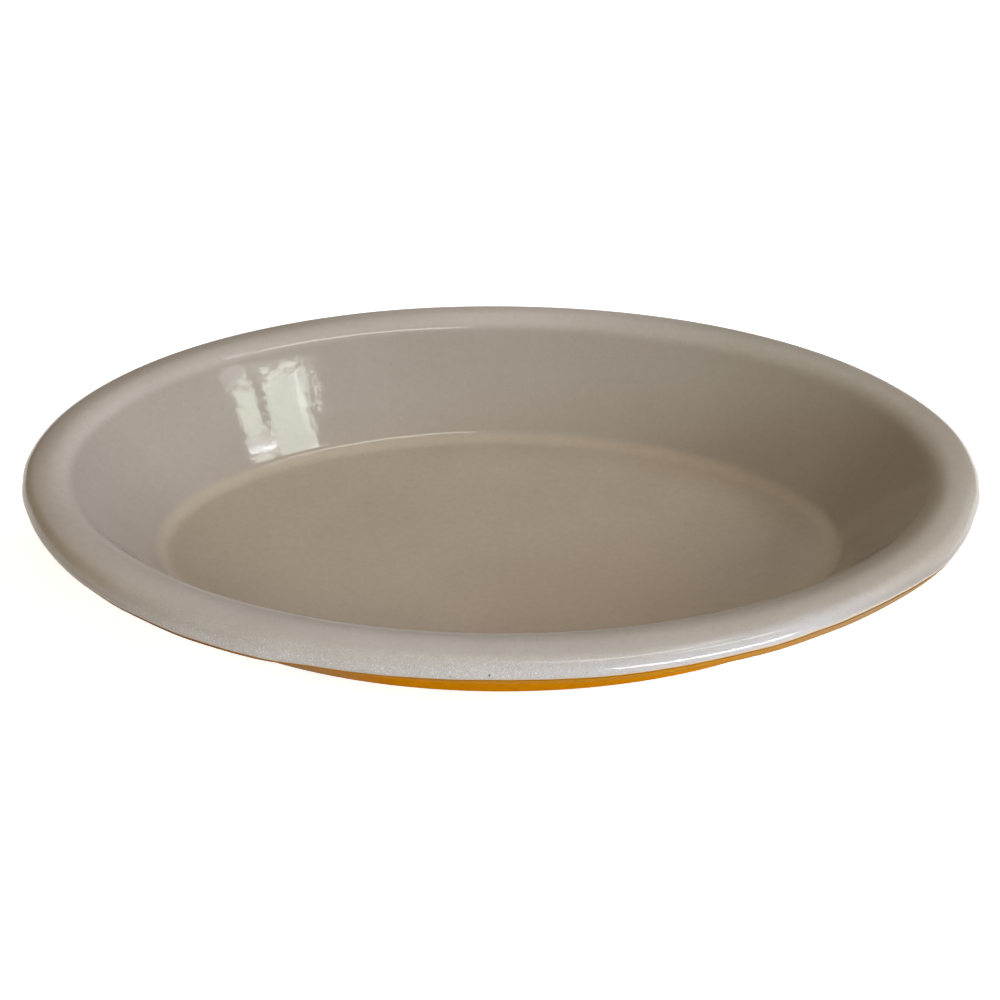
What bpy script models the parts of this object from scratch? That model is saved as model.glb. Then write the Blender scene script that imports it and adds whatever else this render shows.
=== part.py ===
"""Oval gratin dish: a stoneware body with a beige glaze inside and a mustard glaze outside.

Metres, +Z up. The origin is on the table under the middle of the dish, and +X runs along its
length. The wall and the lip are one section, carried round the plan ellipse. A point of the
section is its inset from the outermost edge of the lip, and its height above the table.
"""
import math

import bmesh
import bpy
from mathutils import Matrix, Vector

# Overall sizes, over the lip, and from the table to the crest of the lip
LENGTH = 0.320
WIDTH = 0.224
HEIGHT = 0.042

# The lip is a ledge that crowns gently between its outer edge and the mouth of the dish
LIP_THICKNESS = 0.010
LIP_WIDTH = 0.0155
LIP_CREST_INSET = 0.0082
LIP_CROWN_RADIUS = 0.021
LIP_OUTER_FALL = math.radians(12)
LIP_INNER_FALL = math.radians(15)
LIP_EDGE_TOP_RADIUS = 0.004
LIP_EDGE_BOTTOM_RADIUS = 0.005
LIP_MOUTH_RADIUS = 0.0045
LIP_ROOT_RADIUS = 0.004

# The wall leans outwards, and is thickest where it turns into the floor
WALL_LEAN = math.radians(40)
WALL_TOP_THICKNESS = 0.0078
WALL_BASE_THICKNESS = 0.010
FLOOR_THICKNESS = 0.0055
FLOOR_FILLET_RADIUS = 0.0105
BASE_CORNER_RADIUS = 0.006

# The foot ring stays bare, so that the dish does not stick to the kiln shelf
FOOT_HEIGHT = 0.002
FOOT_WIDTH = 0.005
FOOT_SETBACK = 0.0075
FOOT_EDGE_RADIUS = 0.0008

# The glaze coats, the gap that each keeps to what it lies on or meets, and the line on the lip's
# edge where the two colours meet, as an angle below the widest point
GLAZE_THICKNESS = 0.0005
GLAZE_GAP = 0.0003
COLOUR_LINE_DROP = math.radians(15)

# Points round the oval, and steps along small, middling and large arcs
OVAL_POINTS = 64
SMALL_ARC_STEPS = 2
ARC_STEPS = 3
LARGE_ARC_STEPS = 5
SHARP_EDGE = math.radians(35)

# Finishes: linear red, green and blue, and roughness
FINISHES = {
    "bare_clay": ((0.52, 0.36, 0.24), 0.85),
    "beige_glaze": ((0.41, 0.36, 0.29), 0.30),
    "mustard_glaze": ((0.48, 0.18, 0.015), 0.28),
    "base_glaze": ((0.46, 0.17, 0.014), 0.32),
}

# The way that a surface faces in the section, as an angle above the outward horizontal
DOWN = -math.pi / 2
OUTWARD = 0.0
UP = math.pi / 2
INWARD = -math.pi


def facing(angle):
    """Unit vector of a direction in the section."""
    return Vector((-math.cos(angle), math.sin(angle)))


def run(angle, point):
    """A straight run of the section through a point: the way it faces, and how far out it lies."""
    return angle, facing(angle).dot(Vector(point))


def outward_run(low, high):
    """The straight run that rises from one point to another and faces outwards."""
    rise = high - low
    return run(math.atan2(rise.x, rise.y), low)


def sunk(line, depth):
    """The run moved into the material."""
    return line[0], line[1] - depth


def meeting(one, other):
    """The point where two runs cross."""
    directions = Matrix((facing(one[0]), facing(other[0])))
    return directions.inverted() @ Vector((one[1], other[1]))


def corner(one, other, radius, steps, start=None, end=None):
    """The arc from one run to the next, as points with the way that each faces.

    The radius is negative where the corner is hollow. Start and end cut the arc short.
    """
    centre = meeting(sunk(one, radius), sunk(other, radius))
    first = one[0] if start is None else start
    last = other[0] if end is None else end
    angles = [first + (last - first) * step / steps for step in range(steps + 1)]
    return [(centre + radius * facing(angle), facing(angle)) for angle in angles]


def coat(surface, depth):
    """The points that lie at a depth under a finished surface."""
    return [point - depth * direction for point, direction in surface]


def skin(surface):
    """A coat of glaze: along the finished surface, and back along its underside."""
    return coat(surface, 0.0) + coat(surface, GLAZE_THICKNESS)[::-1]


# The straight runs of the finished surface, from the underside round the lip to the inside floor
crown_centre = Vector((LIP_CREST_INSET, HEIGHT - LIP_CROWN_RADIUS))
lip_outer_side = UP - LIP_OUTER_FALL
lip_inner_side = UP + LIP_INNER_FALL
wall_side = math.pi - WALL_LEAN
underside = run(DOWN, (0.0, FOOT_HEIGHT))
lip_underside = run(DOWN, (0.0, HEIGHT - LIP_THICKNESS))
lip_edge = run(OUTWARD, (0.0, HEIGHT))
lip_outer = run(lip_outer_side, crown_centre + LIP_CROWN_RADIUS * facing(lip_outer_side))
lip_inner = run(lip_inner_side, crown_centre + LIP_CROWN_RADIUS * facing(lip_inner_side))
inner_wall = run(wall_side, (LIP_WIDTH, HEIGHT))
floor = run(UP, (0.0, FOOT_HEIGHT + FLOOR_THICKNESS))
outer_wall = outward_run(
    meeting(inner_wall, floor) - WALL_BASE_THICKNESS * facing(wall_side),
    meeting(inner_wall, lip_underside) - WALL_TOP_THICKNESS * facing(wall_side),
)

# The coats stop this far, as an angle on the lip's edge, on either side of the colour line
half_gap = GLAZE_GAP / 2 / LIP_EDGE_BOTTOM_RADIUS

# The foot ring stands in from the corner of the base
foot_inset = meeting(outer_wall, underside).x + FOOT_SETBACK
foot_outside = run(OUTWARD, (foot_inset, 0.0))
foot_bottom = run(DOWN, (foot_inset, 0.0))
foot_inside = run(INWARD, (foot_inset + FOOT_WIDTH, 0.0))


def outside_surface(last):
    """The finished outside, from the corner of the base to an angle on the lip's edge."""
    return (
        corner(underside, outer_wall, BASE_CORNER_RADIUS, LARGE_ARC_STEPS)
        + corner(outer_wall, lip_underside, -LIP_ROOT_RADIUS, ARC_STEPS)
        + corner(lip_underside, lip_edge, LIP_EDGE_BOTTOM_RADIUS, LARGE_ARC_STEPS, end=last)
    )


def inside_surface(first):
    """The finished inside, from an angle on the lip's edge over the crown to the floor."""
    return (
        corner(lip_underside, lip_edge, LIP_EDGE_BOTTOM_RADIUS, 1, start=first)
        + corner(lip_edge, lip_outer, LIP_EDGE_TOP_RADIUS, LARGE_ARC_STEPS)
        + corner(lip_outer, lip_inner, LIP_CROWN_RADIUS, SMALL_ARC_STEPS, end=UP)
        + corner(lip_outer, lip_inner, LIP_CROWN_RADIUS, SMALL_ARC_STEPS, start=UP)[1:]
        + corner(lip_inner, inner_wall, LIP_MOUTH_RADIUS, ARC_STEPS)
        + corner(inner_wall, floor, -FLOOR_FILLET_RADIUS, LARGE_ARC_STEPS)
    )


def place_ring(verts, turn, point):
    """Sets one ring round the plan ellipse, moved in square to it by the point's inset."""
    inset, height = point
    for vert in verts:
        along, across = math.cos(vert[turn]), math.sin(vert[turn])
        edge = Vector((LENGTH / 2 * along, WIDTH / 2 * across, height))
        outward = Vector((WIDTH * along, LENGTH * across, 0.0)).normalized()
        vert.co = edge - inset * outward


def oval_body(name, section, material, closes_on_itself=False):
    """Carries a section round the oval, and closes it on itself or with a flat face at each end."""
    bm = bmesh.new()
    turn = bm.verts.layers.float.new("turn")
    bmesh.ops.create_circle(bm, cap_ends=not closes_on_itself, segments=OVAL_POINTS, radius=1.0)
    for vert in bm.verts:
        vert[turn] = math.atan2(vert.co.y, vert.co.x)
    place_ring(bm.verts, turn, section[0])
    first_edges = last_edges = list(bm.edges)
    for point in section[1:]:
        grown = bmesh.ops.extrude_edge_only(bm, edges=last_edges)["geom"]
        place_ring([item for item in grown if isinstance(item, bmesh.types.BMVert)], turn, point)
        last_edges = [item for item in grown if isinstance(item, bmesh.types.BMEdge) and item.is_boundary]
    if closes_on_itself:
        bmesh.ops.bridge_loops(bm, edges=first_edges + last_edges)
    else:
        bmesh.ops.contextual_create(bm, geom=last_edges)
    bmesh.ops.recalc_face_normals(bm, faces=bm.faces)
    mesh = bpy.data.meshes.new(name)
    bm.to_mesh(mesh)
    bm.free()
    mesh.materials.append(material)
    mesh.shade_smooth()
    mesh.set_sharp_from_angle(angle=SHARP_EDGE)
    piece = bpy.data.objects.new(name, mesh)
    dish.objects.link(piece)
    return piece


def finish(name):
    """The plain material of one finish."""
    colour, roughness = FINISHES[name]
    material = bpy.data.materials.new(name)
    material.use_nodes = True
    shader = material.node_tree.nodes["Principled BSDF"]
    shader.inputs["Base Color"].default_value = (*colour, 1.0)
    shader.inputs["Roughness"].default_value = roughness
    shader.inputs["Metallic"].default_value = 0.0
    return material


def clay_body():
    """The fired stoneware: bare on the foot ring, and under its coats everywhere else."""
    cover = GLAZE_THICKNESS + GLAZE_GAP
    ceiling = sunk(underside, cover)
    foot_ring = (
        corner(foot_inside, foot_bottom, FOOT_EDGE_RADIUS, SMALL_ARC_STEPS)
        + corner(foot_bottom, foot_outside, FOOT_EDGE_RADIUS, SMALL_ARC_STEPS)
    )
    section = (
        [meeting(ceiling, foot_inside)]
        + coat(foot_ring, 0.0)
        + [meeting(ceiling, foot_outside)]
        + coat(outside_surface(OUTWARD) + inside_surface(OUTWARD)[2:], cover)
    )
    return oval_body("clay_body", section, finish("bare_clay"))


def interior_glaze():
    """The beige coat, over the floor, the inner wall and the lip down to the colour line."""
    surface = inside_surface(half_gap - COLOUR_LINE_DROP)
    return oval_body("interior_glaze", skin(surface[::-1]), finish("beige_glaze"))


def exterior_glaze():
    """The mustard coat, from the foot ring up the outer wall and under the lip to the colour line."""
    start = meeting(underside, foot_outside) + GLAZE_GAP * facing(OUTWARD)
    surface = [(start, facing(DOWN))] + outside_surface(-half_gap - COLOUR_LINE_DROP)
    return oval_body("exterior_glaze", skin(surface), finish("mustard_glaze"), closes_on_itself=True)


def underside_glaze():
    """The coat in the recess inside the foot ring."""
    edge = meeting(underside, foot_inside) + GLAZE_GAP * facing(INWARD)
    return oval_body("underside_glaze", skin([(edge, facing(DOWN))]), finish("base_glaze"))


for leftover in list(bpy.data.objects):
    bpy.data.objects.remove(leftover)
dish = bpy.data.collections.new("gratin_dish")
bpy.context.scene.collection.children.link(dish)

body = clay_body()
for glaze in (interior_glaze(), exterior_glaze(), underside_glaze()):
    glaze.parent = body
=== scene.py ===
import math

import bmesh
import bpy
from mathutils import Matrix, Vector, noise


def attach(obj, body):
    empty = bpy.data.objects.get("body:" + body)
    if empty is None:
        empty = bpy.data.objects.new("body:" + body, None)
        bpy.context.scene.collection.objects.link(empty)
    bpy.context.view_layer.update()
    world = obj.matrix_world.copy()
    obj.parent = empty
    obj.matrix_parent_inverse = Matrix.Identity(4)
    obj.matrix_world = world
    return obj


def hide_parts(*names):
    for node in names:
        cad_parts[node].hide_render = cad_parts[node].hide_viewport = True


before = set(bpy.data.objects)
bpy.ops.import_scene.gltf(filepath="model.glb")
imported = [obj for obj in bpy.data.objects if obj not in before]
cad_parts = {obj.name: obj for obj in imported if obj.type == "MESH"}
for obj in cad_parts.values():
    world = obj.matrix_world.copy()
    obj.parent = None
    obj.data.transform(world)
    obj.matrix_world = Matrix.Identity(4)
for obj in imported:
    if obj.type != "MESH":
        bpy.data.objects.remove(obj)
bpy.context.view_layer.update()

# The view: the camera looks down at the long side of the dish, so that the whole hollow is seen
# and only a strip of the outside shows under the front of the lip.
VIEW_CENTRE = Vector((0.0, 0.0, 0.042))
VIEW_TURN = math.radians(0.19)
VIEW_HEIGHT = math.radians(32.3)
VIEW_DISTANCE = 0.750
VIEW_PAN = math.radians(0.02)
VIEW_TILT = math.radians(1.06)
VIEW_ROLL = math.radians(-0.13)
FILM_WIDTH = 36.0
LENS = 80.53

back = Vector((
    math.sin(VIEW_TURN) * math.cos(VIEW_HEIGHT),
    -math.cos(VIEW_TURN) * math.cos(VIEW_HEIGHT),
    math.sin(VIEW_HEIGHT),
))
right = Vector((0.0, 0.0, 1.0)).cross(back).normalized()
aim = (
    Matrix.Rotation(VIEW_ROLL, 3, "Z")
    @ Matrix.Rotation(VIEW_TILT, 3, "X")
    @ Matrix.Rotation(VIEW_PAN, 3, "Y")
    @ Matrix((right, back.cross(right), back))
)
lens = bpy.data.cameras.new("camera")
lens.sensor_width = FILM_WIDTH
lens.lens = LENS
camera = bpy.data.objects.new("camera", lens)
camera.matrix_world = (
    Matrix.Translation(VIEW_CENTRE + VIEW_DISTANCE * back) @ aim.transposed().to_4x4()
)
bpy.context.scene.collection.objects.link(camera)
bpy.context.scene.camera = camera
bpy.context.scene.view_settings.view_transform = "Standard"

# The stoneware body: one piece of fired clay, with the lip, the leaning wall, the floor and the
# foot ring that it stands on. It is pressed over a mould and trimmed by hand, and the foot ring is
# wiped clean of glaze before the firing, so that only there the bare clay shows.
LENGTH = 0.320
WIDTH = 0.224
HEIGHT = 0.042
LIP_THICKNESS = 0.0092
LIP_WIDTH = 0.0155
LIP_CREST_INSET = 0.0091
LIP_CROWN_RADIUS = 0.021
LIP_OUTER_FALL = math.radians(15)
LIP_EDGE_TOP_RADIUS = 0.0055
LIP_EDGE_BOTTOM_RADIUS = 0.0032
LIP_ROOT_RADIUS = 0.004
WALL_LEAN = math.radians(40)
WALL_TOP_THICKNESS = 0.0078
WALL_BASE_THICKNESS = 0.010
FLOOR_THICKNESS = 0.0055
FLOOR_FILLET_RADIUS = 0.0090
BASE_CORNER_RADIUS = 0.006
FOOT_HEIGHT = 0.002
FOOT_WIDTH = 0.005
FOOT_SETBACK = 0.0075
FOOT_EDGE_RADIUS = 0.0008
COAT_THICKNESS = 0.0005
COAT_BED = 0.00003
# The width of the lip round the oval, by the turn in degrees: the mould leaves more of it in front
LIP_WIDTHS = (
    (0, 0.0134), (90, 0.0136), (175, 0.0137), (200, 0.0148), (225, 0.0162), (245, 0.0169),
    (300, 0.0169), (318, 0.0162), (335, 0.0148), (352, 0.0135), (360, 0.0134),
)
# How far the rim stands outside the plain oval, by the turn in degrees: it was trimmed by hand
RIM_TRIM = (
    (0, 0.0010), (12, 0.0015), (30, 0.0009), (55, 0.0006), (85, -0.0001), (110, 0.0007),
    (135, 0.0006), (160, 0.0004), (178, 0.0001), (186, -0.0005), (196, -0.0015), (205, -0.0016),
    (215, -0.0012), (224, -0.0003), (235, 0.0008), (243, 0.0011), (250, -0.0002), (255, -0.0003),
    (270, 0.0003), (283, 0.0010), (300, 0.0006), (310, -0.0002), (320, -0.0005), (332, 0.0),
    (346, -0.0002), (354, 0.0006), (360, 0.0010),
)
RIM_TRIM_FADES_OVER = 0.014
HAND_SWAY = 0.00014
HAND_SWAY_PER_METRE = 17.0
HAND_SWAY_FADES_BELOW = 0.012
HAND_SWAY_SEED = 1
# How many points go round the oval, and how many steps along each stretch of the section
OVAL_POINTS = 360
EDGE_STEPS = 10
ROOT_STEPS = 6
OUTER_WALL_STEPS = 8
LIP_UNDERSIDE_STEPS = 3
OUTER_CROWN_STEPS = 5
INNER_CROWN_STEPS = 16
INNER_WALL_STEPS = 10
FILLET_STEPS = 14
FOOT_EDGE_STEPS = 4
HIDDEN_RINGS = 6
SHARP_ABOVE = math.radians(60)
CLAY_COLOUR = (0.52, 0.36, 0.24, 1.0)
CLAY_DARK = (0.27, 0.15, 0.08, 1.0)
CLAY_PALE = (0.66, 0.53, 0.40, 1.0)
CLAY_ROUGHNESS = 0.85
CLAY_LEAST_ROUGHNESS = 0.76
CLAY_GRIT_DEPTH = 0.00012
CLAY_GRIT_STRENGTH = 0.7
PEEL_FINER_THAN_SWELL = 4.0

DOWN = -math.pi / 2
OUTWARD = 0.0
UP = math.pi / 2
INWARD = -math.pi


def facing(angle):
    """Unit vector of a direction in the section, as inset and height."""
    return Vector((-math.cos(angle), math.sin(angle)))


def run(angle, point):
    """A straight run of the section: the way it faces, and how far out it lies."""
    return angle, facing(angle).dot(Vector(point))


def outward_run(low, high):
    """The straight run that rises from one point to another and faces outwards."""
    rise = high - low
    return run(math.atan2(rise.x, rise.y), low)


def sunk(line, depth):
    """The run moved into the material."""
    return line[0], line[1] - depth


def meeting(one, other):
    """The point where two runs cross."""
    directions = Matrix((facing(one[0]), facing(other[0])))
    return directions.inverted() @ Vector((one[1], other[1]))


def bend(one, other, radius, steps):
    """The arc from one run to the next, as points with the way that each faces."""
    centre = meeting(sunk(one, radius), sunk(other, radius))
    angles = [one[0] + (other[0] - one[0]) * step / steps for step in range(steps + 1)]
    return [(centre + radius * facing(angle), angle) for angle in angles]


def between(start, end, steps):
    """Points along the straight stretch from one point of the section to the next."""
    (low, angle), (high, _) = start, end
    return [(low.lerp(high, step / steps), angle) for step in range(1, steps)]


def sunk_path(path, depth):
    """The same path under the surface."""
    return [(point - depth * facing(angle), angle) for point, angle in path]


crown_centre = Vector((LIP_CREST_INSET, HEIGHT - LIP_CROWN_RADIUS))
lip_outer_side = UP - LIP_OUTER_FALL
wall_side = math.pi - WALL_LEAN
underside = run(DOWN, (0.0, FOOT_HEIGHT))
lip_underside = run(DOWN, (0.0, HEIGHT - LIP_THICKNESS))
lip_edge = run(OUTWARD, (0.0, HEIGHT))
lip_outer = run(lip_outer_side, crown_centre + LIP_CROWN_RADIUS * facing(lip_outer_side))
lip_crest = run(UP, (0.0, HEIGHT))
inner_wall = run(wall_side, (LIP_WIDTH, HEIGHT))
floor_face = run(UP, (0.0, FOOT_HEIGHT + FLOOR_THICKNESS))
outer_wall = outward_run(
    meeting(inner_wall, floor_face) - WALL_BASE_THICKNESS * facing(wall_side),
    meeting(inner_wall, lip_underside) - WALL_TOP_THICKNESS * facing(wall_side),
)
foot_inset = meeting(outer_wall, underside).x + FOOT_SETBACK
foot_outside = run(OUTWARD, (foot_inset, 0.0))
foot_bottom = run(DOWN, (foot_inset, 0.0))
foot_inside = run(INWARD, (foot_inset + FOOT_WIDTH, 0.0))

lip_edge_low = bend(lip_underside, lip_edge, LIP_EDGE_BOTTOM_RADIUS, EDGE_STEPS)
lip_edge_high = bend(lip_edge, lip_outer, LIP_EDGE_TOP_RADIUS, EDGE_STEPS)
floor_corner = meeting(inner_wall, floor_face)
base_corner = bend(underside, outer_wall, BASE_CORNER_RADIUS, EDGE_STEPS)
lip_root = bend(outer_wall, lip_underside, -LIP_ROOT_RADIUS, ROOT_STEPS)
under_the_lip = (
    base_corner + between(base_corner[-1], lip_root[0], OUTER_WALL_STEPS)
    + lip_root + between(lip_root[-1], lip_edge_low[0], LIP_UNDERSIDE_STEPS)
)


def eased_between(stops, turn):
    """A value that eases from each stop to the next: a stop is a turn in degrees and a value."""
    degrees = math.degrees(turn) % 360.0
    for (low, one), (high, other) in zip(stops, stops[1:]):
        if low <= degrees <= high:
            way = (degrees - low) / (high - low)
            return one + (other - one) * way * way * (3.0 - 2.0 * way)


def over_the_lip(turn):
    """The crown of the lip, the wall and the fillet of the floor, at a turn round the dish."""
    width = eased_between(LIP_WIDTHS, turn)
    lean = math.atan2(floor_corner.x - width, HEIGHT - floor_corner.y)
    wall = run(math.pi - lean, (width, HEIGHT))
    radius = (width - LIP_CREST_INSET) / math.tan((wall[0] - UP) / 2)
    outer_crown = bend(lip_outer, lip_crest, LIP_CROWN_RADIUS, OUTER_CROWN_STEPS)
    inner_crown = bend(lip_crest, wall, radius, INNER_CROWN_STEPS)
    fillet = bend(wall, floor_face, -FLOOR_FILLET_RADIUS, FILLET_STEPS)
    return (
        outer_crown + inner_crown[1:]
        + between(inner_crown[-1], fillet[0], INNER_WALL_STEPS) + fillet
    )


def plan_point(turn, inset, height):
    """A point of the section carried to its place round the plan oval."""
    along, across = math.cos(turn), math.sin(turn)
    outward = Vector((WIDTH * along, LENGTH * across, 0.0)).normalized()
    trim = eased_between(RIM_TRIM, turn) * max(0.0, 1.0 - inset / RIM_TRIM_FADES_OVER)
    return Vector((LENGTH / 2 * along, WIDTH / 2 * across, height)) - (inset - trim) * outward


def sway(place):
    """The slight unevenness of a shape that is trimmed by hand, none of it at the foot."""
    drift = HAND_SWAY * noise.noise_vector(HAND_SWAY_PER_METRE * place)
    return place + drift * min(1.0, place.z / HAND_SWAY_FADES_BELOW)


def carry_round(section):
    """Carries a section round the oval, ring by ring, and returns the mesh with its last edges.

    The section is a function of the turn, so that it may change on its way round. It gives the
    points, and how far each lies from the colour line, which is kept on the mesh.
    """
    bm = bmesh.new()
    order = bm.verts.layers.int.new("order")
    distance = bm.verts.layers.float.new("from_line")
    bmesh.ops.create_circle(bm, cap_ends=False, segments=OVAL_POINTS, radius=1.0)
    turns = {}
    for index, vert in enumerate(bm.verts):
        vert[order] = index
        turns[index] = math.atan2(vert.co.y, vert.co.x)
    stations = {index: section(turn) for index, turn in turns.items()}
    rings = [list(bm.edges)]
    ring = list(bm.verts)
    for level in range(len(stations[0][0])):
        if level:
            grown = bmesh.ops.extrude_edge_only(bm, edges=rings[-1])["geom"]
            ring = [item for item in grown if isinstance(item, bmesh.types.BMVert)]
            edges = [item for item in grown if isinstance(item, bmesh.types.BMEdge)]
            new = set(ring)
            rings.append([edge for edge in edges if new.issuperset(edge.verts)])
        for vert in ring:
            points, distances = stations[vert[order]]
            inset, height = points[level]
            vert.co = plan_point(turns[vert[order]], inset, height)
            vert[distance] = distances[level]
    return bm, rings[0], rings[-1]


def close_towards_middle(bm, edges, steps):
    """Closes a flat oval with shrinking rings and a point in the middle."""
    for step in range(1, steps + 1):
        grown = bmesh.ops.extrude_edge_only(bm, edges=edges)["geom"]
        verts = [item for item in grown if isinstance(item, bmesh.types.BMVert)]
        new = set(verts)
        edges = [
            item for item in grown
            if isinstance(item, bmesh.types.BMEdge) and new.issuperset(item.verts)
        ]
        shrink = (steps - step) / (steps - step + 1)
        if step < steps:
            bmesh.ops.scale(bm, vec=(shrink, shrink, 1.0), verts=verts)
        else:
            middle = Vector((0.0, 0.0, verts[0].co.z))
            bmesh.ops.pointmerge(bm, verts=verts, merge_co=middle)


def fire(bm, name, node, finish):
    """Turns the raw mesh into a finished piece, in its place on the dish."""
    bmesh.ops.recalc_face_normals(bm, faces=bm.faces)
    for vert in bm.verts:
        vert.co = sway(vert.co)
    bm.verts.layers.int.remove(bm.verts.layers.int["order"])
    mesh = bpy.data.meshes.new(name)
    bm.to_mesh(mesh)
    bm.free()
    mesh.shade_smooth()
    mesh.set_sharp_from_angle(angle=SHARP_ABOVE)
    mesh.materials.append(finish)
    piece = bpy.data.objects.new(name, mesh)
    bpy.context.scene.collection.objects.link(piece)
    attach(piece, "root")
    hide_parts(node)


def stir(tree, kind, feeds=None, **settings):
    """One step in the recipe of a finish: its settings, and what feeds each of its sockets."""
    step = tree.nodes.new(kind)
    for name, value in settings.items():
        setattr(step, name, value)
    for socket, value in (feeds or {}).items():
        if isinstance(value, bpy.types.NodeSocket):
            tree.links.new(value, step.inputs[socket])
        else:
            step.inputs[socket].default_value = value
    return step


def place_on(tree):
    """Where a point lies on the dish, in metres."""
    return stir(tree, "ShaderNodeTexCoord").outputs["Object"]


def times(tree, one, other):
    """One mask held back by another, or by a plain share."""
    return stir(tree, "ShaderNodeMath", {0: one, 1: other}, operation="MULTIPLY").outputs[0]


def plus(tree, base, mask, amount):
    """A value raised where a mask lies."""
    return stir(tree, "ShaderNodeMath", {0: mask, 1: amount, 2: base},
                operation="MULTIPLY_ADD").outputs[0]


def greater(tree, one, other):
    """The greater of two values."""
    return stir(tree, "ShaderNodeMath", {0: one, 1: other}, operation="MAXIMUM").outputs[0]


def fade(tree, value, none_at, full_at, least=0.0, most=1.0):
    """A mask that eases in while a value goes from one figure to another."""
    return stir(tree, "ShaderNodeMapRange", {
        "Value": value, "From Min": none_at, "From Max": full_at, "To Min": least, "To Max": most,
    }, interpolation_type="SMOOTHSTEP").outputs[0]


def distance_from(tree, centre):
    """How far a point lies from a place on the dish."""
    return stir(tree, "ShaderNodeVectorMath", {0: place_on(tree), 1: centre},
                operation="DISTANCE").outputs["Value"]


def blend(tree, amount, under, over):
    """Lays one colour over another, as much as the amount says."""
    return stir(tree, "ShaderNodeMix", {0: amount, 6: under, 7: over},
                data_type="RGBA", blend_type="MIX").outputs[2]


def lay_over(tree, colour, layers):
    """Lays colours over a first one in turn: each has its mask, its share and its colour."""
    for mask, share, over in layers:
        colour = blend(tree, times(tree, mask, share), colour, over)
    return colour


def raised(tree, value, masks):
    """A value raised or lowered in turn, by a mask and an amount each time."""
    for mask, amount in masks:
        value = plus(tree, value, mask, amount)
    return value


def dent(tree, shader, height, depth, strength=1.0):
    """Dents the surface of a finish, by a height counted in the given depth."""
    tree.links.new(stir(tree, "ShaderNodeBump", {
        "Strength": strength, "Distance": depth, "Height": height,
    }).outputs[0], shader.inputs["Normal"])


def shared_effect(name, inlets, outlet):
    """The start of an effect that several finishes share: its group, what goes in and comes out."""
    group = bpy.data.node_groups.new(name, "ShaderNodeTree")
    for inlet, value in inlets.items():
        vector = isinstance(value, tuple)
        socket = group.interface.new_socket(
            name=inlet, in_out="INPUT",
            socket_type="NodeSocketVector" if vector else "NodeSocketFloat",
        )
        socket.default_value = value
    group.interface.new_socket(name=outlet, in_out="OUTPUT", socket_type="NodeSocketFloat")
    given = group.nodes.new("NodeGroupInput").outputs
    return group, given, group.nodes.new("NodeGroupOutput").inputs


def use(tree, group, **values):
    """Places a shared effect in a finish with values of its own, and returns what it puts out."""
    return stir(tree, "ShaderNodeGroup", values, node_tree=group).outputs[0]


def finish_of(name, roughness):
    """A new finish with its shader, whose plain values are set on its own sockets."""
    material = bpy.data.materials.new(name)
    material.use_nodes = True
    shader = material.node_tree.nodes["Principled BSDF"]
    shader.inputs["Roughness"].default_value = roughness
    shader.inputs["Metallic"].default_value = 0.0
    return material, material.node_tree, shader


# Specks: a share of the grains in the glaze or the clay shows as small round spots
specks, given, out = shared_effect(
    "specks", {"per_metre": 800.0, "share": 0.3, "reach": 0.3}, "mask")
grains = stir(specks, "ShaderNodeTexVoronoi", {
    "Vector": place_on(specks), "Scale": given["per_metre"],
}).outputs
spot = fade(specks, grains["Distance"], given["reach"], 0.0)
lot = stir(specks, "ShaderNodeSeparateColor", {0: grains["Color"]}).outputs[0]
chosen = stir(specks, "ShaderNodeMath", {0: lot, 1: given["share"]}, operation="LESS_THAN")
specks.links.new(times(specks, spot, chosen.outputs[0]), out[0])

# Clouding: soft patches where the glaze lies thicker or the clay fired darker
clouding, given, out = shared_effect(
    "clouding", {"per_metre": 20.0, "detail": 3.0, "low": 0.35, "high": 0.65}, "mask")
drift = stir(clouding, "ShaderNodeTexNoise", {
    "Vector": place_on(clouding), "Scale": given["per_metre"], "Detail": given["detail"],
})
clouding.links.new(fade(clouding, drift.outputs[0], given["low"], given["high"]), out[0])

# Ripple: the low swell and the finer orange peel of a glaze that flowed and then set
ripple, given, out = shared_effect("ripple", {"per_metre": 300.0, "fine": 0.25}, "height")
place = place_on(ripple)
swell = stir(ripple, "ShaderNodeTexNoise", {
    "Vector": place, "Scale": given["per_metre"], "Detail": 1.0,
})
peel = stir(ripple, "ShaderNodeTexNoise", {
    "Vector": place, "Scale": times(ripple, given["per_metre"], PEEL_FINER_THAN_SWELL),
    "Detail": 1.0,
})
ripple.links.new(plus(ripple, swell.outputs[0], peel.outputs[0], given["fine"]), out[0])

bare_clay, tree, shader = finish_of("bare_clay", CLAY_ROUGHNESS)
fired = use(tree, clouding, per_metre=60.0, detail=5.0, low=0.3, high=0.7)
grog = use(tree, specks, per_metre=1100.0, share=0.16, reach=0.34)
iron = use(tree, specks, per_metre=700.0, share=0.10, reach=0.26)
grit = use(tree, ripple, per_metre=900.0, fine=0.8)
tree.links.new(lay_over(tree, CLAY_COLOUR, (
    (fired, 0.35, CLAY_DARK), (grog, 0.7, CLAY_PALE), (iron, 0.8, CLAY_DARK),
)), shader.inputs["Base Color"])
tree.links.new(plus(tree, CLAY_LEAST_ROUGHNESS, fired, 0.16), shader.inputs["Roughness"])
dent(tree, shader, plus(tree, grit, grog, 0.9), CLAY_GRIT_DEPTH, CLAY_GRIT_STRENGTH)

clay_depth = COAT_THICKNESS + COAT_BED
ceiling = sunk(underside, clay_depth)
foot_ring = (
    bend(foot_inside, foot_bottom, FOOT_EDGE_RADIUS, FOOT_EDGE_STEPS)
    + bend(foot_bottom, foot_outside, FOOT_EDGE_RADIUS, FOOT_EDGE_STEPS)
)


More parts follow.
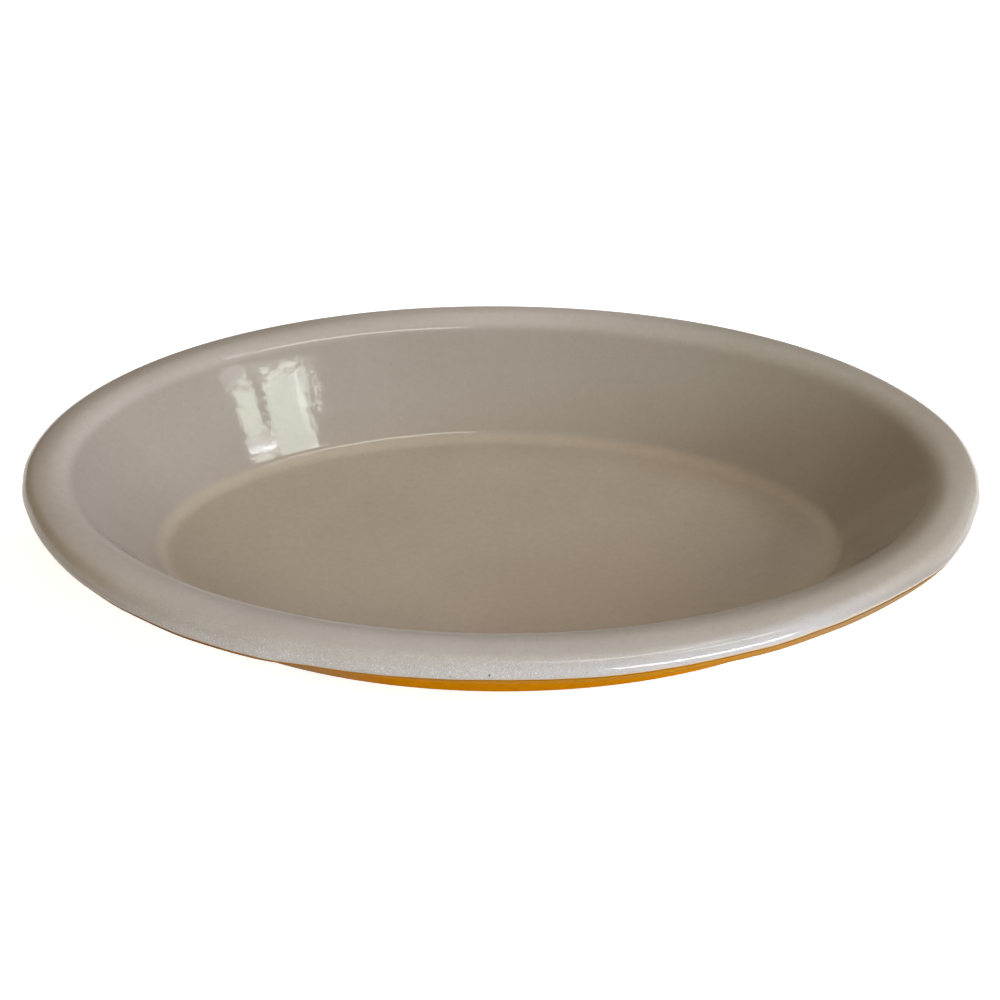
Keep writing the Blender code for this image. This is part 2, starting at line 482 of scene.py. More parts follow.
def clay_section(turn):
    """The clay's whole section, from the foot ring round the lip to the inside floor."""
    covered = under_the_lip + lip_edge_low[1:] + lip_edge_high + over_the_lip(turn)[1:]
    points = (
        [meeting(ceiling, foot_inside)]
        + [point for point, angle in foot_ring]
        + [meeting(ceiling, foot_outside)]
        + [point for point, angle in sunk_path(covered, clay_depth)]
    )
    return points, [0.0] * len(points)


noise.seed_set(HAND_SWAY_SEED)
bm, first, last = carry_round(clay_section)
close_towards_middle(bm, first, HIDDEN_RINGS)
close_towards_middle(bm, last, HIDDEN_RINGS)
fire(bm, "stoneware_body", "clay_body", bare_clay)

# The beige glaze inside: a glossy coat that is poured in, swilled round and brought over the lip,
# down to a line on the lip's edge. Light and shade are painted into its colour: the floor is
# painted lighter and warmer than the wall, with a painted shadow towards the front right, and the
# lip is painted paler in front and behind and darker at the right end and at both ends of its edge,
# with a painted sky reflection on its front edge. The glaze is thin over the lip, where sand and a
# few pinholes show in it.
LINE_RAGGED = math.radians(1.3)
LINE_RAGGED_PER_METRE = 160.0
LINE_HALF_GAP = 0.00005
EDGE_THINS_OVER = 0.0012
EDGE_THINS_BY = 0.00012
BEAD_SWELL = 0.00018
BEAD_DEPTHS = ((0.00034, 0.00004), (0.00022, 0.00001), (0.00015, 0.00006))
LIP_EDGE_STEPS = 22
FLOOR_RINGS = 24
# Painted light: the floor is painted lighter and warmer than the wall, and its brown is a painted
# shadow near the front right
FLOOR_BEIGE_PAINTED_LIT = (0.455, 0.388, 0.305, 1.0)
FLOOR_PAINTED_SHADOW_BROWN = (0.430, 0.350, 0.262, 1.0)
WALL_BEIGE = (0.350, 0.303, 0.258, 1.0)
LIP_BEIGE = (0.470, 0.421, 0.372, 1.0)
# Painted light and shade on the lip: paler in front where the light falls, paler behind for a
# painted highlight, darker at the right end as painted shade
LIP_PAINTED_LIT_FRONT = (0.513, 0.478, 0.440, 1.0)
LIP_PAINTED_SHADE_RIGHT = (0.385, 0.340, 0.280, 1.0)
LIP_PAINTED_LIGHT_REAR = (0.640, 0.575, 0.525, 1.0)
# A painted reflection of sky light, for the front of the lip's edge
EDGE_PAINTED_SKY_REFLECTION = (0.495, 0.462, 0.466, 1.0)
# Painted shade for the lip's edge at both ends of the dish
EDGE_PAINTED_SHADE = (0.250, 0.220, 0.200, 1.0)
SPECK_BROWN = (0.165, 0.125, 0.085, 1.0)
SPECK_CREAM = (0.620, 0.570, 0.490, 1.0)
SAND_WHITE = (0.860, 0.850, 0.850, 1.0)
FRINGE_CREAM = (0.600, 0.470, 0.310, 1.0)
PINHOLE_BLACK = (0.030, 0.022, 0.016, 1.0)
THIN_BROWN = (0.200, 0.095, 0.035, 1.0)
BEIGE_ROUGHNESS = 0.20
FLOOR_ROUGHNESS = 0.165
BEIGE_SHINE = 0.25
WAVES_PER_METRE = 230.0
WAVE_DEPTH = 0.00004
# Where each change of colour starts and where it is full, several of them painted light and shade:
# along the dish, across it, up it, away from the colour line, and away from the middle of the
# painted shadow on the floor
SHADED_RIGHT_END = (-0.030, 0.180)
EDGE_SHADE_AT_ENDS = (0.085, 0.150)
SAND_FROM_LEFT = (-0.135, -0.100)
SAND_TO_RIGHT = (0.065, 0.000)
LIT_FRONT = (-0.045, -0.105)
HIGHLIT_REAR = (0.091, 0.108)
ON_WALL = (0.0078, 0.0108)
ON_LIP = (0.0375, 0.0408)
NEAR_EDGE = (0.009, 0.002)
VERY_NEAR_EDGE = (0.0048, 0.0008)
SAND_DOWN_LIP = (0.0105, 0.0030)
SAND_LEAST = 0.12
# The middle and the reach of the painted shadow on the floor, near the front right wall
FLOOR_SHADOW_CENTRE = (0.055, -0.070, 0.0075)
FLOOR_SHADOW_REACH = (0.110, 0.020)
# Where the colours meet, as a turn round the plan and an angle on the lip's edge, in degrees
COLOUR_LINE = (
    (0, -8), (20, -5), (45, -3), (90, -8), (135, -23), (165, -28), (182, -24), (205, -24),
    (216, -24), (227, -20), (234, -18), (241, -20), (247, -28), (257, -32), (263, -21),
    (270, -12), (280, -7), (283, -5), (290, 1), (297, 5), (309, 6), (314, 7), (320, 5),
    (326, 0), (331, -12), (336, -22), (346, -20), (354, -12), (360, -8),
)
# Pinholes near the front of the lip's edge, with the width of each
PINHOLES = (
    ((-0.0024, -0.1120, 0.0373), 0.00062), ((-0.0139, -0.1116, 0.0365), 0.00042),
    ((0.0224, -0.1112, 0.0365), 0.00044), ((0.0249, -0.1110, 0.0365), 0.00042),
    ((0.0304, -0.1104, 0.0366), 0.00056),
)

low_edge_centre = meeting(
    sunk(lip_underside, LIP_EDGE_BOTTOM_RADIUS), sunk(lip_edge, LIP_EDGE_BOTTOM_RADIUS))
high_edge_centre = meeting(
    sunk(lip_edge, LIP_EDGE_TOP_RADIUS), sunk(lip_outer, LIP_EDGE_TOP_RADIUS))


def colour_line(turn):
    """The angle on the lip's edge at which the two colours meet, at a turn round the dish."""
    ragged = noise.noise(LINE_RAGGED_PER_METRE * plan_point(turn, 0.0, 0.0))
    return math.radians(eased_between(COLOUR_LINE, turn)) + LINE_RAGGED * ragged


def on_lip_edge(angle):
    """The point of the lip's edge that faces an angle."""
    if angle < OUTWARD:
        return low_edge_centre + LIP_EDGE_BOTTOM_RADIUS * facing(angle), angle
    return high_edge_centre + LIP_EDGE_TOP_RADIUS * facing(angle), angle


def further_up(angle, distance):
    """The angle on the lip's edge that lies a distance further up it than another."""
    reach = distance + angle * (LIP_EDGE_BOTTOM_RADIUS if angle < OUTWARD else LIP_EDGE_TOP_RADIUS)
    return reach / (LIP_EDGE_BOTTOM_RADIUS if reach < 0.0 else LIP_EDGE_TOP_RADIUS)


def lip_edge_stretch(start, end):
    """The lip's edge from one angle to another."""
    steps = LIP_EDGE_STEPS
    return [on_lip_edge(start + (end - start) * step / steps) for step in range(steps + 1)]


def lengths_along(path):
    """How far each point of a path lies from its first."""
    reach = [0.0]
    for (one, _), (other, _) in zip(path, path[1:]):
        reach.append(reach[-1] + (other - one).length)
    return reach


def coat_over(path, bead_way):
    """A coat with a rounded, thinning edge at the path's first point: underneath, bead, surface.

    The bead swells towards the colour line, which lies the given way along the path.
    """
    reach = lengths_along(path)
    under = [point for point, _ in sunk_path(path, COAT_THICKNESS)][::-1]
    edge, angle = path[0]
    along = Vector((-facing(angle).y, facing(angle).x)) * bead_way
    bead = [
        edge - depth * facing(angle) + (BEAD_SWELL - back_off) * along
        for depth, back_off in BEAD_DEPTHS
    ]
    surface = []
    for (point, angle), far in zip(path, reach):
        thin = EDGE_THINS_BY * max(0.0, 1.0 - far / EDGE_THINS_OVER) ** 2
        surface.append(point - thin * facing(angle))
    return under + bead + surface, reach[::-1] + [0.0] * len(bead) + reach


def inside_path(turn):
    """The finished inside, from the colour line over the lip to where the floor turns flat."""
    start = further_up(colour_line(turn), LINE_HALF_GAP + BEAD_SWELL)
    return lip_edge_stretch(start, lip_outer_side) + over_the_lip(turn)[1:]


bm, first, last = carry_round(lambda turn: coat_over(inside_path(turn), -1.0))
close_towards_middle(bm, first, HIDDEN_RINGS)
close_towards_middle(bm, last, FLOOR_RINGS)

# Pinhole: a small round pit at a named place
pinhole, given, out = shared_effect(
    "pinhole", {"place": (0.0, 0.0, 0.0), "width": 0.0004}, "mask")
pinhole.links.new(
    fade(pinhole, distance_from(pinhole, given["place"]), given["width"], 0.0), out[0])

# Worn line: a ragged, speckled fringe that dies away from the colour line
fringe, given, out = shared_effect(
    "fringe", {"from_line": 0.0, "width": 0.0008, "per_metre": 1500.0}, "mask")
ragged = stir(fringe, "ShaderNodeTexNoise", {
    "Vector": place_on(fringe), "Scale": given["per_metre"], "Detail": 2.0,
})
swing = stir(fringe, "ShaderNodeMapRange", {
    "Value": ragged.outputs[0], "From Min": 0.3, "From Max": 0.7, "To Min": 0.35, "To Max": 1.65,
})
reach = times(fringe, given["width"], swing.outputs[0])
near = stir(fringe, "ShaderNodeMath", {0: given["from_line"], 1: reach}, operation="DIVIDE")
fringe.links.new(fade(fringe, near.outputs[0], 1.0, 0.6), out[0])

beige_glaze, tree, shader = finish_of("beige_glaze", BEIGE_ROUGHNESS)
along, across, height = stir(tree, "ShaderNodeSeparateXYZ", {0: place_on(tree)}).outputs
either_way = stir(tree, "ShaderNodeMath", {0: along}, operation="ABSOLUTE").outputs[0]
from_line = stir(tree, "ShaderNodeAttribute", attribute_name="from_line").outputs["Fac"]
shaded_right_end = fade(tree, along, *SHADED_RIGHT_END)
edge_shade_at_ends = fade(tree, either_way, *EDGE_SHADE_AT_ENDS)
lit_front = fade(tree, across, *LIT_FRONT)
highlit_rear = fade(tree, across, *HIGHLIT_REAR)
on_wall = fade(tree, height, *ON_WALL)
on_lip = fade(tree, height, *ON_LIP)
near_edge = fade(tree, from_line, *NEAR_EDGE)
very_near_edge = fade(tree, from_line, *VERY_NEAR_EDGE)
floor_shadow = fade(tree, distance_from(tree, FLOOR_SHADOW_CENTRE), *FLOOR_SHADOW_REACH)
clouds = use(tree, clouding, per_metre=22.0, detail=4.0, low=0.30, high=0.70)
fine_clouds = use(tree, clouding, per_metre=420.0, detail=3.0, low=0.30, high=0.70)
brown = use(tree, specks, per_metre=620.0, share=0.30, reach=0.30)
dust = use(tree, specks, per_metre=1500.0, share=0.40, reach=0.42)
cream = use(tree, specks, per_metre=760.0, share=0.24, reach=0.32)
sand = use(tree, clouding, per_metre=2500.0, detail=2.0, low=0.50, high=0.68)
for where_sandy in (
    fade(tree, along, *SAND_FROM_LEFT), fade(tree, along, *SAND_TO_RIGHT),
    fade(tree, from_line, *SAND_DOWN_LIP, least=SAND_LEAST), lit_front,
    greater(tree, on_lip, near_edge),
):
    sand = times(tree, sand, where_sandy)
cream_edge = use(tree, fringe, from_line=from_line, width=0.0007, per_metre=1700.0)
brown_edge = use(tree, fringe, from_line=from_line, width=0.00022, per_metre=1100.0)
pits = 0.0
for centre, width in PINHOLES:
    pits = plus(tree, pits, use(tree, pinhole, place=centre, width=width), 1.0)
# The floor: painted lighter than the wall as painted light, with a painted shadow towards the front
# right
floor_light_and_shadow = blend(tree, floor_shadow, FLOOR_BEIGE_PAINTED_LIT, FLOOR_PAINTED_SHADOW_BROWN)
# The lip: painted paler in front as painted light, paler behind as painted light and highlight,
# darker at the right end as painted shade
lip_colour = lay_over(tree, LIP_BEIGE, (
    (lit_front, 1.0, LIP_PAINTED_LIT_FRONT), (shaded_right_end, 1.0, LIP_PAINTED_SHADE_RIGHT), (highlit_rear, 0.8, LIP_PAINTED_LIGHT_REAR),
))
tree.links.new(lay_over(tree, floor_light_and_shadow, (
    (on_wall, 1.0, WALL_BEIGE),
    (on_lip, 1.0, lip_colour),
    (near_edge, 1.0, lip_colour),
    # Painted reflection: the front of the lip's edge is painted pale and bluish for the sky light
    # it mirrors
    (times(tree, near_edge, lit_front), 1.0, EDGE_PAINTED_SKY_REFLECTION),
    # Painted shade: the very edge of the lip is painted dark at both ends, where it turns away from
    # the light
    (times(tree, very_near_edge, edge_shade_at_ends), 1.0, EDGE_PAINTED_SHADE),
    (clouds, 0.10, SPECK_BROWN),
    (fine_clouds, 0.06, SPECK_BROWN),
    (brown, 0.22, SPECK_BROWN),
    (dust, 0.10, SPECK_BROWN),
    (cream, 0.14, SPECK_CREAM),
    (sand, 0.48, SAND_WHITE),
    (times(tree, dust, near_edge), 0.28, SPECK_BROWN),
    (cream_edge, 0.7, FRINGE_CREAM),
    (brown_edge, 0.10, THIN_BROWN),
    (pits, 1.0, PINHOLE_BLACK),
)), shader.inputs["Base Color"])
tree.links.new(raised(tree, FLOOR_ROUGHNESS, (
    (on_wall, -0.12), (clouds, 0.02), (on_lip, 0.05), (near_edge, 0.03), (sand, 0.20),
)), shader.inputs["Roughness"])
shader.inputs["Specular IOR Level"].default_value = BEIGE_SHINE
waves = use(tree, ripple, per_metre=WAVES_PER_METRE, fine=0.16)
dent(tree, shader, raised(tree, times(tree, waves, 0.65), (
    (brown, -0.10), (dust, -0.04), (sand, 0.25), (pits, -2.0),
)), WAVE_DEPTH)
fire(bm, "beige_coat", "interior_glaze", beige_glaze)

# The mustard glaze outside: the outer wall and the underside of the lip are dipped up to the
# colour line. The coat is glossy, and it breaks to brown where it runs thin, at the line and by the
# foot. Over the lip's lower edge its colour is painted darker as painted shade, dark brown on the
# left as painted shade, and tan at the right end as a painted sheen.
FOOT_GAP = 0.0006
FOOT_BEAD = 0.00012
MUSTARD = (0.700, 0.276, 0.0015, 1.0)
MUSTARD_DEEP = (0.480, 0.180, 0.0015, 1.0)
MUSTARD_PAINTED_SHADE_EDGE = (0.450, 0.182, 0.003, 1.0)
MUSTARD_PAINTED_SHEEN_TAN = (0.310, 0.185, 0.085, 1.0)
MUSTARD_PALE = (0.500, 0.310, 0.165, 1.0)
MUSTARD_THIN = (0.270, 0.120, 0.035, 1.0)
# The brown of the iron specks, also used as painted shade on the left of the lip's lower edge
IRON_AND_SHADE_BROWN = (0.130, 0.060, 0.022, 1.0)
MUSTARD_ROUGHNESS = 0.20
MUSTARD_LEAST_ROUGHNESS = 0.12
MUSTARD_SHINE = 0.0
MUSTARD_TOP_GLOSS = 0.40
MUSTARD_TOP_ROUGHNESS = 0.08
# Where each change starts and where it is full, along the dish and up it
SHEEN_AT_RIGHT = (0.050, 0.125)
SHADED_LEFT = (-0.045, -0.110)
PALE_AT_LEFT = (-0.030, -0.072)
BY_THE_FOOT = (0.0200, 0.0100)
OVER_EDGE = (0.0322, 0.0335)
THICK = (0.0090, 0.0240)


def outside_section(turn):
    """The coat from the colour line down to the foot ring, where its second edge is rounded."""
    start = further_up(colour_line(turn), -LINE_HALF_GAP - BEAD_SWELL)
    foot = meeting(underside, foot_outside) + FOOT_GAP * facing(OUTWARD)
    path = lip_edge_stretch(start, DOWN) + under_the_lip[::-1][1:] + [(foot, DOWN)]
    section, reach = coat_over(path, 1.0)
    beside = foot - 0.5 * COAT_THICKNESS * facing(DOWN) - FOOT_BEAD * facing(OUTWARD)
    return section + [beside], reach + [reach[-1]]


bm, first, last = carry_round(outside_section)
bmesh.ops.bridge_loops(bm, edges=first + last)

mustard_glaze, tree, shader = finish_of("mustard_glaze", MUSTARD_ROUGHNESS)
along, across, height = stir(tree, "ShaderNodeSeparateXYZ", {0: place_on(tree)}).outputs
from_line = stir(tree, "ShaderNodeAttribute", attribute_name="from_line").outputs["Fac"]
sheen_at_right = fade(tree, along, *SHEEN_AT_RIGHT)
shaded_left = fade(tree, along, *SHADED_LEFT)
pale_at_left = fade(tree, along, *PALE_AT_LEFT)
by_the_foot = fade(tree, height, *BY_THE_FOOT)
over_edge = fade(tree, height, *OVER_EDGE)
thick = fade(tree, height, *THICK)
clouds = use(tree, clouding, per_metre=30.0, detail=4.0, low=0.30, high=0.70)
streaks = use(tree, clouding, per_metre=160.0, detail=3.0, low=0.35, high=0.70)
iron = use(tree, specks, per_metre=650.0, share=0.22, reach=0.30)
brown_edge = use(tree, fringe, from_line=from_line, width=0.0005, per_metre=1300.0)
tree.links.new(lay_over(tree, MUSTARD, (
    (clouds, 0.30, MUSTARD_DEEP),
    (streaks, 0.20, MUSTARD_DEEP),
    (times(tree, pale_at_left, by_the_foot), 1.0, MUSTARD_PALE),
    # Painted shade: the lip's lower edge is painted darker, against the light the table throws up
    # onto it
    (over_edge, 0.9, MUSTARD_PAINTED_SHADE_EDGE),
    # Painted sheen: at the right end the lip's lower edge is painted a pale tan
    (times(tree, sheen_at_right, over_edge), 1.0, MUSTARD_PAINTED_SHEEN_TAN),
    # Painted shade: on the left the lip's lower edge is painted dark brown, and the thin brown
    # fringe at the line is painted stronger there
    (times(tree, shaded_left, over_edge), 0.85, IRON_AND_SHADE_BROWN),
    (times(tree, brown_edge, plus(tree, 0.10, shaded_left, 0.40)), 1.0, MUSTARD_THIN),
    (iron, 0.45, IRON_AND_SHADE_BROWN),
)), shader.inputs["Base Color"])
tree.links.new(plus(tree, MUSTARD_LEAST_ROUGHNESS, clouds, 0.06), shader.inputs["Roughness"])
shader.inputs["Specular IOR Level"].default_value = MUSTARD_SHINE
top_gloss = plus(tree, MUSTARD_TOP_GLOSS, over_edge, -0.30)
tree.links.new(times(tree, thick, top_gloss), shader.inputs["Coat Weight"])
shader.inputs["Coat Roughness"].default_value = MUSTARD_TOP_ROUGHNESS
waves = use(tree, ripple, per_metre=WAVES_PER_METRE, fine=0.16)
dent(tree, shader, plus(tree, waves, iron, -0.12), WAVE_DEPTH)
fire(bm, "mustard_coat", "exterior_glaze", mustard_glaze)

# The glaze under the base: the recess inside the foot ring gets the same mustard dip. It lies
# thicker in the middle, and thin and brown along the wiped ring.
BASE_EDGE_POINTS = 6
BASE_EDGE_STEP = 0.0012
BASE_RINGS = 16
BASE_ROUGHNESS = 0.32
BASE_LEAST_ROUGHNESS = 0.30
BASE_SHINE = 0.10
BASE_WAVES_PER_METRE = 200.0

recess_edge = meeting(underside, foot_inside).x + FOOT_GAP
base_path = [
    (Vector((recess_edge + step * BASE_EDGE_STEP, FOOT_HEIGHT)), DOWN)
    for step in range(BASE_EDGE_POINTS)
]
bm, first, last = carry_round(lambda turn: coat_over(base_path, 1.0))
close_towards_middle(bm, first, HIDDEN_RINGS)
close_towards_middle(bm, last, BASE_RINGS)

base_glaze, tree, shader = finish_of("base_glaze", BASE_ROUGHNESS)
from_line = stir(tree, "ShaderNodeAttribute", attribute_name="from_line").outputs["Fac"]
clouds = use(tree, clouding, per_metre=24.0, detail=5.0, low=0.30, high=0.70)
iron = use(tree, specks, per_metre=650.0, share=0.25, reach=0.30)
brown_edge = use(tree, fringe, from_line=from_line, width=0.0016, per_metre=420.0)
tree.links.new(lay_over(tree, MUSTARD, (
    (clouds, 0.60, MUSTARD_DEEP), (brown_edge, 0.85, MUSTARD_THIN), (iron, 0.5, IRON_AND_SHADE_BROWN),
)), shader.inputs["Base Color"])
tree.links.new(plus(tree, BASE_LEAST_ROUGHNESS, clouds, 0.10), shader.inputs["Roughness"])
shader.inputs["Specular IOR Level"].default_value = BASE_SHINE
waves = use(tree, ripple, per_metre=BASE_WAVES_PER_METRE, fine=0.2)
dent(tree, shader, plus(tree, waves, iron, -0.12), WAVE_DEPTH)
fire(bm, "base_coat", "underside_glaze", base_glaze)

# The table: a plain white top that keeps the dish's soft shadow near it and runs out into white
# far away, so that no edge of it shows. The dish only stands on it.
TABLE_REACH = 4.0
TABLE_DROP = 0.0001
TABLE_WHITE = (0.85, 0.85, 0.85, 1.0)
TABLE_ROUGHNESS = 0.9
TABLE_PAPER = 0.74
TABLE_PAPER_FAR = 1.0
TABLE_PALER = (0.35, 1.60)
WHITE = (1.0, 1.0, 1.0, 1.0)


def seen_rays(tree):
    """The rays that see the table and the room: from the camera, off gloss and through glass."""
    rays = stir(tree, "ShaderNodeLightPath").outputs
    camera_or_glass = greater(tree, rays["Is Camera Ray"], rays["Is Transmission Ray"])
    return greater(tree, camera_or_glass, rays["Is Glossy Ray"])


def stand_in_room(bm, name, finishes):
    """Turns a mesh into a thing of the room, which is no part of the dish."""
    mesh = bpy.data.meshes.new(name)
    bm.to_mesh(mesh)
    bm.free()
    for finish in finishes:
        mesh.materials.append(finish)
    thing = bpy.data.objects.new(name, mesh)
    bpy.context.scene.collection.objects.link(thing)
    return thing


bm = bmesh.new()
bmesh.ops.create_grid(bm, x_segments=1, y_segments=1, size=TABLE_REACH)
bmesh.ops.translate(bm, vec=(0.0, 0.0, -TABLE_DROP), verts=bm.verts)
table_top, tree, shader = finish_of("table_top", TABLE_ROUGHNESS)
shader.inputs["Base Color"].default_value = TABLE_WHITE
shader.inputs["Specular IOR Level"].default_value = 0.0
away = stir(tree, "ShaderNodeVectorMath", {0: place_on(tree)}, operation="LENGTH")
paleness = fade(tree, away.outputs["Value"], *TABLE_PALER, TABLE_PAPER, TABLE_PAPER_FAR)
paper = stir(tree, "ShaderNodeEmission", {
    "Color": WHITE, "Strength": times(tree, seen_rays(tree), paleness),
})
shown = stir(tree, "ShaderNodeAddShader", {0: shader.outputs[0], 1: paper.outputs[0]})
tree.links.new(shown.outputs[0], tree.nodes["Material Output"].inputs["Surface"])
stand_in_room(bm, "table", [table_top])

# The curtain: a pale cloth hung all round the room, brightest in front and high up. Only the
# gloss of the dish shows it, and it lights nothing.
CURTAIN_REACH = 2.4
CURTAIN_HEIGHT = 4.6
CURTAIN_FOLDS = 48
CURTAIN_LEAST = 0.10
CURTAIN_IN_FRONT = (-0.6, -2.1)
CURTAIN_IN_FRONT_MOST = 1.0
CURTAIN_HIGH_UP = (0.9, 2.2)
CURTAIN_HIGH_UP_MOST = 0.75


def glowing(name, colour, strength):
    """A finish that gives off light of one colour, and its recipe."""
    material = bpy.data.materials.new(name)
    material.use_nodes = True
    tree = material.node_tree
    glow = stir(tree, "ShaderNodeEmission", {"Color": colour, "Strength": strength})
    tree.links.new(glow.outputs[0], tree.nodes["Material Output"].inputs["Surface"])
    return material, tree, glow


def mirrored_only(thing):
    """Keeps a thing in the room to what the gloss mirrors of it."""
    thing.visible_camera = thing.visible_diffuse = thing.visible_shadow = False


bm = bmesh.new()
bmesh.ops.create_circle(bm, cap_ends=False, segments=CURTAIN_FOLDS, radius=CURTAIN_REACH)
hung = bmesh.ops.extrude_edge_only(bm, edges=list(bm.edges))["geom"]
top_edge = [item for item in hung if isinstance(item, bmesh.types.BMVert)]
bmesh.ops.translate(bm, vec=(0.0, 0.0, CURTAIN_HEIGHT), verts=top_edge)
cloth, tree, glow = glowing("curtain_cloth", WHITE, CURTAIN_LEAST)
along, across, height = stir(tree, "ShaderNodeSeparateXYZ", {0: place_on(tree)}).outputs
in_front = fade(tree, across, *CURTAIN_IN_FRONT, CURTAIN_LEAST, CURTAIN_IN_FRONT_MOST)
high_up = fade(tree, height, *CURTAIN_HIGH_UP, CURTAIN_LEAST, CURTAIN_HIGH_UP_MOST)
tree.links.new(greater(tree, in_front, high_up), glow.inputs["Strength"])
mirrored_only(stand_in_room(bm, "curtain", [cloth]))

# The window: two panes with the garden behind them, as the rear left wall of the dish mirrors
# them. It hangs in the room at the front right, and only the gloss shows it.
WINDOW_SEEN_FROM = Vector((-0.0835, 0.0570, 0.0220))
WINDOW_AWAY = 1.4
PANE_STEP = 0.01
# Each pane: its name, strength and colour, and its corners as the wall sees them, by the turn from
# the right end towards the front and the height, in degrees
WINDOW = (
    ("garden_haze", 4.6, (0.92, 1.00, 0.86), (
        (30.8, 49.6), (33.9, 50.1), (37.5, 50.7), (41.5, 51.2), (44.8, 51.7), (47.6, 52.0),
        (47.6, 51.6), (47.2, 51.0), (45.7, 51.1), (42.0, 50.7), (38.5, 50.0), (35.4, 49.3),
        (33.1, 48.6), (30.6, 48.2),
    )),
    ("sky_patch", 6.0, (0.92, 0.94, 1.00), (
        (23.1, 48.3), (25.4, 48.8), (27.6, 49.2), (30.0, 49.5), (30.1, 48.4), (29.1, 47.8),
        (26.1, 46.9), (22.5, 46.0), (21.8, 46.3),
    )),
    ("left_pane", 16.5, (0.88, 1.00, 0.84), (
        (27.3, 47.3), (29.3, 47.9), (30.6, 48.0), (30.7, 47.4), (30.9, 46.8), (30.9, 46.3),
        (30.6, 46.0), (28.3, 45.3), (25.4, 44.6), (24.1, 45.1), (24.4, 45.8), (25.6, 46.6),
    )),
    ("right_pane", 15.5, (0.84, 1.00, 0.89), (
        (33.7, 48.8), (35.9, 49.5), (38.6, 50.1), (42.0, 50.7), (45.2, 51.1), (45.3, 50.8),
        (44.2, 50.0), (44.5, 49.5), (43.9, 49.0), (44.4, 48.7), (44.9, 47.6), (42.8, 47.2),
        (40.0, 46.6), (37.2, 45.9), (34.2, 45.3), (33.1, 46.1), (32.9, 46.7), (33.1, 47.5),
        (33.5, 48.2),
    )),
    ("top_light", 75.0, (0.86, 0.92, 1.00), (
        (24.0, 42.8), (33.0, 44.5), (33.2, 45.7), (29.0, 44.8), (26.0, 44.1), (24.0, 43.8),
    )),
    ("bright_rim", 27.0, (0.98, 1.00, 0.95), (
        (33.7, 48.6), (34.5, 49.1), (37.4, 49.8), (40.5, 50.5), (43.4, 50.9), (45.1, 51.1),
        (44.8, 50.9), (41.8, 50.5), (38.8, 49.9), (35.5, 49.0), (34.2, 48.5),
    )),
    ("bright_branch", 26.0, (0.98, 1.00, 0.95), (
        (41.9, 50.4), (42.6, 50.5), (42.9, 50.1), (43.2, 49.5), (43.2, 48.9), (42.2, 48.7),
        (41.7, 49.3), (41.2, 49.8),
    )),
    ("right_twig", 22.0, (1.00, 1.00, 0.95), (
        (46.6, 51.1), (47.2, 51.2), (46.7, 50.4), (46.5, 49.7), (45.9, 49.7), (45.9, 50.4),
    )),
    ("right_leaf", 20.0, (1.00, 1.00, 0.94), (
        (43.4, 48.9), (44.0, 48.8), (44.2, 48.2), (43.4, 48.0), (43.1, 48.4),
    )),
    ("glint", 80.0, (1.00, 0.97, 0.93), (
        (31.6, 45.9), (33.0, 46.2), (33.0, 46.0), (31.7, 45.7),
    )),
    ("sky_streak", 12.0, (0.97, 0.98, 1.00), (
        (-2.8, 66.7), (-11.5, 69.2), (-1.4, 68.3), (18.9, 60.1), (12.6, 62.3), (12.7, 60.8),
    )),
)


def towards(turn, rise):
    """The direction at a turn from the right end towards the front and a height, in degrees."""
    turn, rise = math.radians(turn), math.radians(rise)
    return Vector((
        math.cos(turn) * math.cos(rise), -math.sin(turn) * math.cos(rise), math.sin(rise)))


bm = bmesh.new()
panes = []
for number, (name, radiance, tint, corners) in enumerate(WINDOW):
    pane = bmesh.ops.create_circle(bm, cap_ends=True, segments=len(corners), radius=1.0)["verts"]
    for vert, (turn, rise) in zip(pane, corners):
        vert.co = WINDOW_SEEN_FROM + (WINDOW_AWAY - PANE_STEP * number) * towards(turn, rise)
    pane[0].link_faces[0].material_index = number
    panes.append(glowing(name, (*tint, 1.0), radiance)[0])
mirrored_only(stand_in_room(bm, "window", panes))

# The light: a white room with hardly any light of its own, and soft lamps in place of the windows
# and the pale walls round the dish. They stand about a metre and a half from it.
ROOM_LIGHT = (1.0, 0.93, 0.84, 1.0)
ROOM_STRENGTH = 0.03
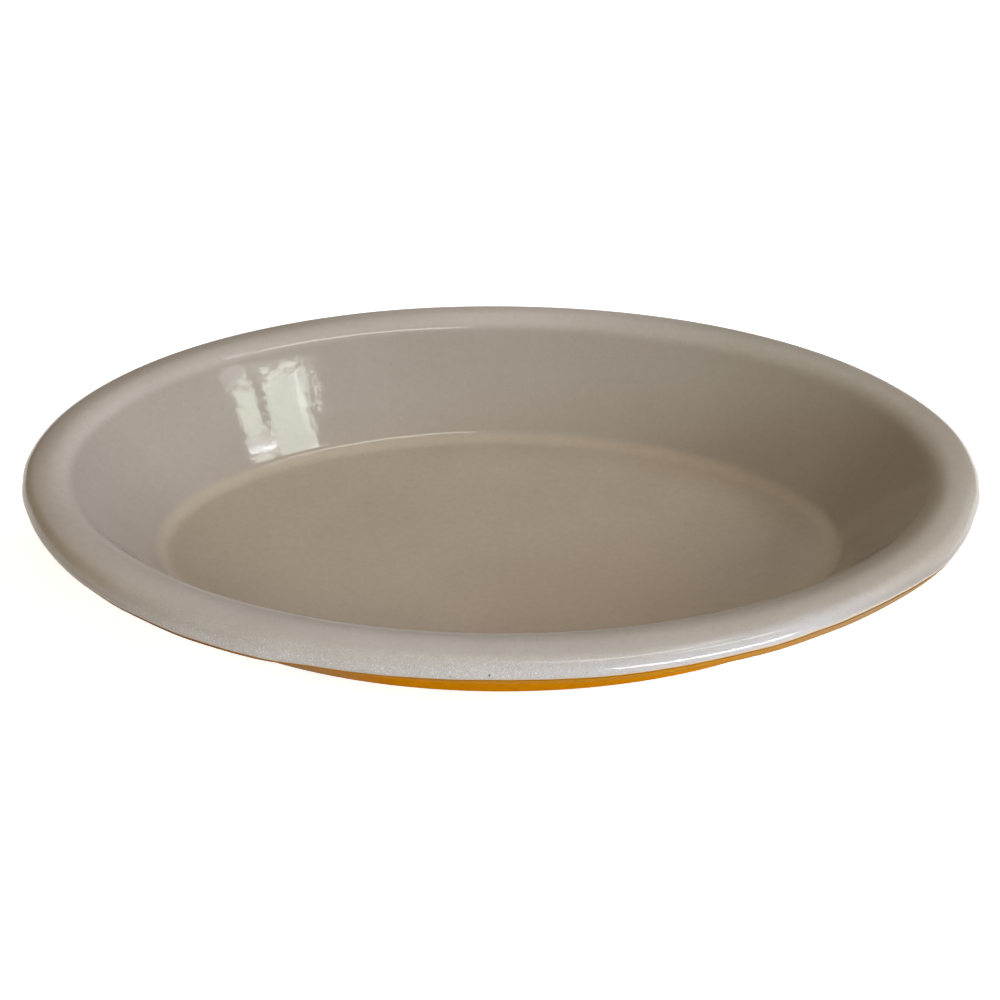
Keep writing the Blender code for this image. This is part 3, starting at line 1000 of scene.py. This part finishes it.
# Each lamp: its name, turn from the right end towards the front, height, distance, size across and
# up, power, colour, and whether it only shines in the gloss or only lights softly
LAMPS = (
    ("ceiling_strip", 50.0, 69.0, 1.74, 0.80, 0.16, 4.8, (1.0, 0.96, 0.88), "gloss"),
    ("sky_low", 46.0, 10.0, 1.60, 0.60, 0.28, 11.4, (0.57, 0.80, 1.0), "soft"),
    ("window_sill", 53.5, 10.0, 1.60, 1.07, 0.20, 26.0, (0.96, 0.98, 1.0), "gloss"),
    ("window_soft", 46.0, 20.0, 1.50, 0.55, 0.45, 8.0, (0.99, 1.0, 0.78), "soft"),
    ("right_side", 10.0, 22.0, 1.60, 0.60, 0.50, 12.7, (1.0, 0.96, 1.13), "soft"),
    ("right_rear", -50.0, 40.0, 1.80, 0.80, 0.80, 7.0, (0.80, 0.95, 1.0), "soft"),
    ("rear", -90.0, 45.0, 1.80, 0.80, 0.80, 3.0, (1.0, 0.80, 0.60), "soft"),
    ("behind", -90.0, 12.0, 1.80, 0.80, 0.50, 4.0, (1.0, 0.92, 0.80), "soft"),
    ("front", 90.0, 50.0, 1.80, 0.80, 0.80, 2.5, (1.0, 0.50, 0.35), "soft"),
    ("front_left", 135.0, 35.0, 1.80, 0.80, 0.80, 10.3, (0.98, 0.92, 0.73), "soft"),
)

room = bpy.data.worlds.new("room")
room.use_nodes = True
bpy.context.scene.world = room
tree = room.node_tree
dim = tree.nodes["Background"]
dim.inputs["Color"].default_value = ROOM_LIGHT
dim.inputs["Strength"].default_value = ROOM_STRENGTH
white = stir(tree, "ShaderNodeBackground", {"Color": WHITE, "Strength": 1.0})
room_shown = stir(tree, "ShaderNodeMixShader", {
    0: seen_rays(tree), 1: dim.outputs[0], 2: white.outputs[0],
})
tree.links.new(room_shown.outputs[0], tree.nodes["World Output"].inputs["Surface"])

for name, turn, rise, distance, across, up, power, tint, work in LAMPS:
    lamp = bpy.data.lights.new(name, "AREA")
    lamp.shape = "RECTANGLE"
    lamp.size, lamp.size_y = across, up
    lamp.energy = power
    lamp.color = tint
    holder = bpy.data.objects.new(name, lamp)
    holder.location = VIEW_CENTRE + distance * towards(turn, rise)
    holder.rotation_euler = towards(turn, rise).to_track_quat("Z", "Y").to_euler()
    holder.visible_glossy = work == "gloss"
    holder.visible_diffuse = work == "soft"
    bpy.context.scene.collection.objects.link(holder)

bpy.context.view_layer.update()
